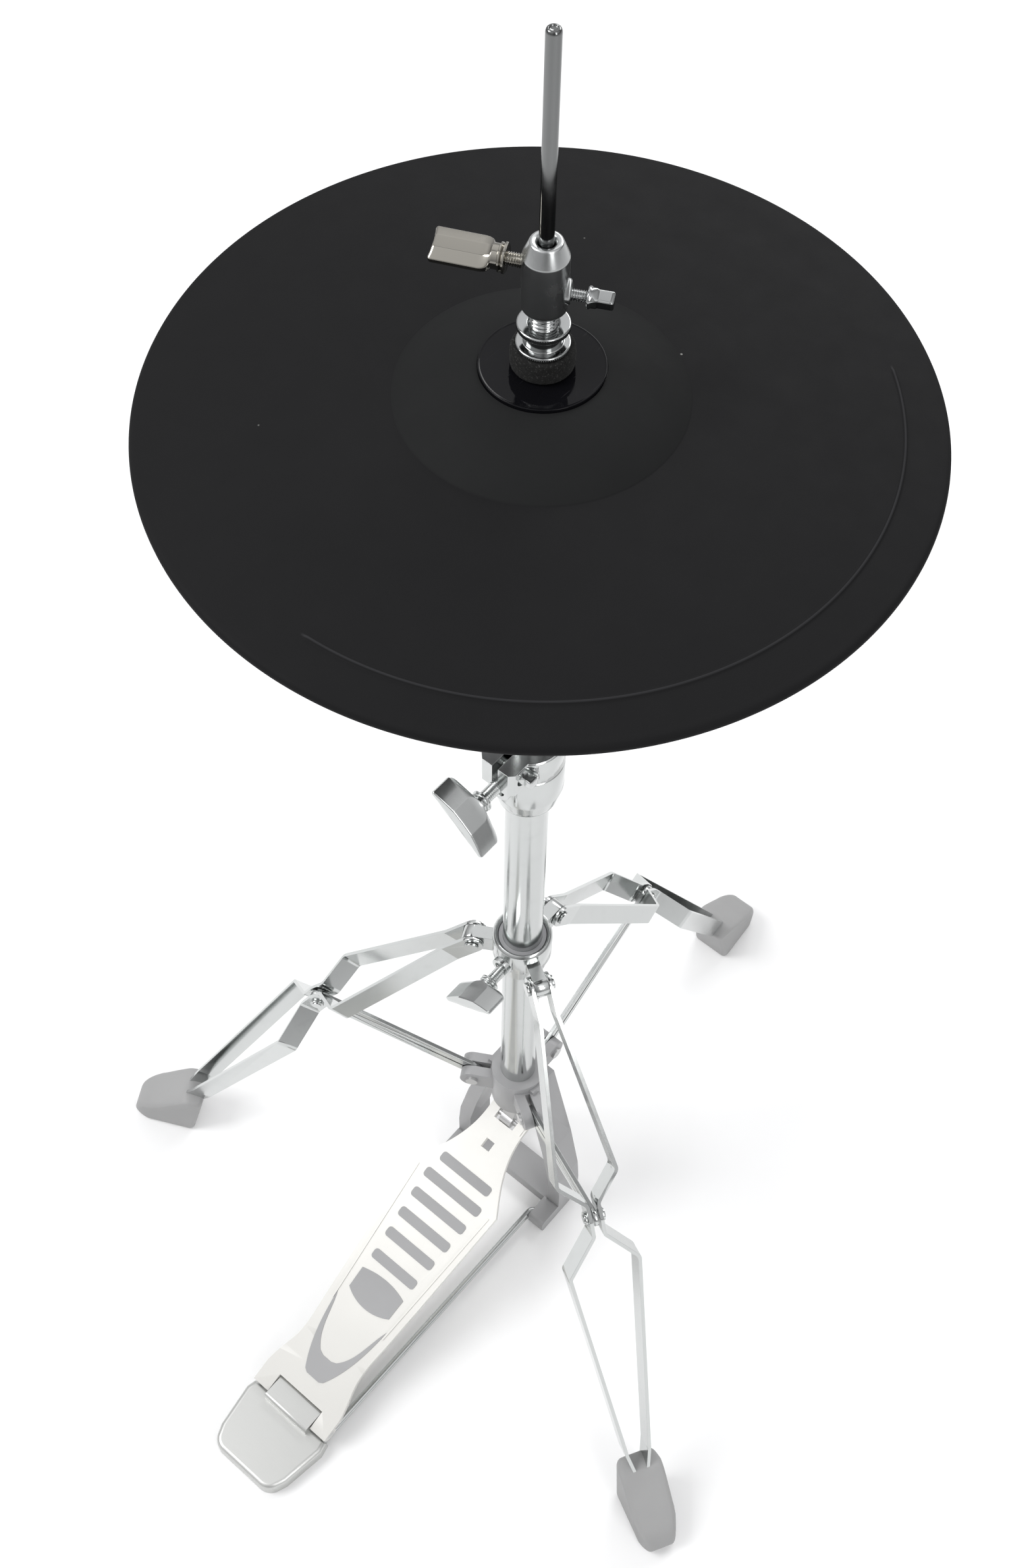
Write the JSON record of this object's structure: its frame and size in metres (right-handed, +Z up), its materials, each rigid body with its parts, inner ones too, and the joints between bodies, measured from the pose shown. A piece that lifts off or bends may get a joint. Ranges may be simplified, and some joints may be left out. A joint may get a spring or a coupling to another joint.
{
  "type": "electronic drum hi-hat on pedal stand",
  "caption": "Rubber-skinned cymbal pad on a clutch and pull rod, over a position controller and a three-legged folding pedal stand.",
  "frame": {"origin": "on the column's axis at floor level, on the underside of the pedal frame's floor bar", "axes": "+Z up the column, the pedal points to -Y, +X to the right of a player who faces the column"},
  "size_m": [0.5548, 0.6285, 1.051],
  "materials": {
    "chrome": "bright chrome plate",
    "dark_chrome": "bright chrome plate",
    "felt": "pressed dark felt",
    "pad_rubber": "matte moulded rubber",
    "black_plastic": "fine moulded texture",
    "gloss_black": "polished",
    "sensor_film": "printed film",
    "brass": "rolled sheet",
    "zinc_steel": "zinc plated",
    "grey_plastic": "moulded",
    "spring_steel": "drawn wire",
    "circuit_board": "solder mask",
    "bushing_plastic": "moulded nylon",
    "cast_grey": "painted casting",
    "satin_silver": "satin",
    "cream_board": "smooth paint on a casting",
    "grip_rubber": "matte",
    "foot_rubber": "moulded"
  },
  "bodies": {
    "base": {"base_tube": "chrome", "height_clamp": "chrome", "height_bushing": "black_plastic", "pedal_frame": "cast_grey", "radius_rod": "chrome", "heel_plate": "satin_silver", "heel_pin": "zinc_steel", "brace_pins": "zinc_steel", "return_spring": "spring_steel", "rod_guide_bush": "black_plastic"},
    "hub": {"leg_hub": "chrome", "hub_bushing": "bushing_plastic", "hub_pins": "chrome"},
    "hub_wing": {"hub_wing_bolt": "chrome"},
    "height_wing": {"height_wing_bolt": "chrome"},
    "mast": {"upper_tube": "chrome", "seat_cup": "black_plastic", "seat_felt": "felt", "controller_housing": "black_plastic", "controller_board": "circuit_board", "controller_jack_socket": "black_plastic", "controller_spring": "spring_steel"},
    "plunger": {"controller_plunger": "grey_plastic"},
    "lock": {"memory_lock": "chrome"},
    "lock_key": {"memory_lock_key_bolt": "chrome"},
    "rod": {"pull_rod": "dark_chrome", "lower_pull_rod": "zinc_steel"},
    "clutch": {"clutch_body": "chrome", "clutch_stem": "chrome", "clutch_upper_felt": "felt", "clutch_lower_felt": "felt"},
    "clutch_wing": {"clutch_wing_screw": "chrome"},
    "clutch_key": {"clutch_key_screw": "chrome"},
    "upper_nut": {"clutch_upper_nut": "chrome"},
    "flange_nut": {"clutch_flange_nut": "chrome"},
    "bottom_nut": {"clutch_bottom_nut": "chrome"},
    "pad": {"pad_rubber_skin": "pad_rubber", "pad_core": "black_plastic", "pad_cup_disc": "gloss_black", "pad_bottom_cover": "black_plastic", "pad_edge_sensor": "sensor_film", "pad_piezo_sensors": "brass", "pad_jack_socket": "black_plastic", "pad_cover_screws": "zinc_steel"},
    "pedal": {"footboard": "cream_board", "footboard_grips": "grip_rubber", "toe_pin": "zinc_steel"},
    "toe_strap": {"toe_link": "zinc_steel"},
    "left_leg": {"left_leg_strips": "chrome", "left_foot": "foot_rubber", "left_leg_rivets": "chrome"},
    "left_brace": {"left_brace": "chrome"},
    "rear_leg": {"rear_leg_strips": "chrome", "rear_foot": "foot_rubber", "rear_leg_rivets": "chrome"},
    "rear_brace": {"rear_brace": "chrome"},
    "right_leg": {"right_leg_strips": "chrome", "right_foot": "foot_rubber", "right_leg_rivets": "chrome"},
    "right_brace": {"right_brace": "chrome"}
  },
  "joints": [
    {"name": "hub_slide", "type": "slide", "parent": "base", "child": "hub", "axis": [0, 0, 1], "range_m": [0, 0.085]},
    {"name": "left_leg_fold", "type": "hinge", "parent": "hub", "child": "left_leg", "pos_m": [-0.02771, -0.016, 0.378], "axis": [0.5, -0.866, 0], "range_deg": [0, 24.7]},
    {"name": "left_brace_fold", "type": "hinge", "parent": "base", "child": "left_brace", "pos_m": [-0.02815, -0.01625, 0.175], "axis": [0.5, -0.866, 0], "range_deg": [-34.58, 0]},
    {"name": "rear_leg_fold", "type": "hinge", "parent": "hub", "child": "rear_leg", "pos_m": [0, 0.032, 0.378], "axis": [-1, 0, 0], "range_deg": [0, 24.7]},
    {"name": "rear_brace_fold", "type": "hinge", "parent": "base", "child": "rear_brace", "pos_m": [0, 0.0325, 0.175], "axis": [-1, 0, 0], "range_deg": [-34.58, 0]},
    {"name": "right_leg_fold", "type": "hinge", "parent": "hub", "child": "right_leg", "pos_m": [0.02771, -0.016, 0.378], "axis": [0.5, 0.866, 0], "range_deg": [0, 24.7]},
    {"name": "right_brace_fold", "type": "hinge", "parent": "base", "child": "right_brace", "pos_m": [0.02815, -0.01625, 0.175], "axis": [0.5, 0.866, 0], "range_deg": [-34.58, 0]},
    {"name": "hub_wing_turn", "type": "hinge", "parent": "hub", "child": "hub_wing", "pos_m": [0, -0.03, 0.377], "axis": [0, -1, 0], "range_deg": [0, 360]},
    {"name": "height_wing_turn", "type": "hinge", "parent": "base", "child": "height_wing", "pos_m": [0, -0.03, 0.59], "axis": [0, -1, 0], "range_deg": [0, 360]},
    {"name": "mast_slide", "type": "slide", "parent": "base", "child": "mast", "axis": [0, 0, 1], "range_m": [-0.09, 0]},
    {"name": "lock_slide", "type": "slide", "parent": "mast", "child": "lock", "axis": [0, 0, 1], "range_m": [0, 0.09]},
    {"name": "lock_key_turn", "type": "hinge", "parent": "lock", "child": "lock_key", "pos_m": [0, -0.018, 0.60615], "axis": [1, 0, 0], "range_deg": [0, 360]},
    {"name": "pedal_press", "type": "hinge", "parent": "base", "child": "pedal", "pos_m": [0, -0.2545, 0.017], "axis": [1, 0, 0], "range_deg": [-5, 0]},
    {"name": "rod_slide", "type": "slide", "parent": "base", "child": "rod", "axis": [0, 0, 1], "range_m": [-0.0208, 0], "stiffness_N_per_m": 1500, "springref_m": 0.03, "deforming": ["return_spring"]},
    {"name": "toe_strap_swing", "type": "hinge", "parent": "pedal", "child": "toe_strap", "pos_m": [0, -0.00889, 0.11385], "axis": [1, 0, 0], "range_deg": [0, 17.5]},
    {"name": "plunger_travel", "type": "slide", "parent": "mast", "child": "plunger", "axis": [0, 0, 1], "range_m": [-0.0208, 0], "stiffness_N_per_m": 150, "springref_m": 0.02, "deforming": ["controller_spring"]},
    {"name": "clutch_slide", "type": "slide", "parent": "rod", "child": "clutch", "axis": [0, 0, 1], "range_m": [0, 0.06]},
    {"name": "clutch_wing_turn", "type": "hinge", "parent": "clutch", "child": "clutch_wing", "pos_m": [-0.01813, -0.00845, 0.943], "axis": [-0.9063, -0.4226, 0], "range_deg": [0, 360]},
    {"name": "clutch_key_turn", "type": "hinge", "parent": "clutch", "child": "clutch_key", "pos_m": [0.01337, 0.00681, 0.9305], "axis": [0.891, 0.454, 0], "range_deg": [0, 360]},
    {"name": "upper_nut_turn", "type": "hinge", "parent": "clutch", "child": "upper_nut", "pos_m": [0, 0, 0.911], "axis": [0, 0, 1], "range_deg": [-180, 180]},
    {"name": "flange_nut_turn", "type": "hinge", "parent": "clutch", "child": "flange_nut", "pos_m": [0, 0, 0.905], "axis": [0, 0, 1], "range_deg": [-180, 180]},
    {"name": "bottom_nut_turn", "type": "hinge", "parent": "clutch", "child": "bottom_nut", "pos_m": [0, 0, 0.852], "axis": [0, 0, 1], "range_deg": [-180, 180]},
    {"name": "pad_spin", "type": "hinge", "parent": "clutch", "child": "pad", "pos_m": [0, 0, 0.88], "axis": [0, 0, 1], "continuous": true}
  ],
  "couplings": [
    {"joint": "left_leg_fold", "follows": "hub_slide", "rad_per_m": 5.0726},
    {"joint": "left_brace_fold", "follows": "hub_slide", "rad_per_m": -7.1007},
    {"joint": "rear_leg_fold", "follows": "hub_slide", "rad_per_m": 5.0726},
    {"joint": "rear_brace_fold", "follows": "hub_slide", "rad_per_m": -7.1007},
    {"joint": "right_leg_fold", "follows": "hub_slide", "rad_per_m": 5.0726},
    {"joint": "right_brace_fold", "follows": "hub_slide", "rad_per_m": -7.1007},
    {"joint": "lock_slide", "follows": "mast_slide", "ratio": -1},
    {"joint": "rod_slide", "follows": "pedal_press", "m_per_rad": 0.23834},
    {"joint": "toe_strap_swing", "follows": "pedal_press", "ratio": -3.49},
    {"joint": "plunger_travel", "follows": "pedal_press", "m_per_rad": 0.23834}
  ]
}
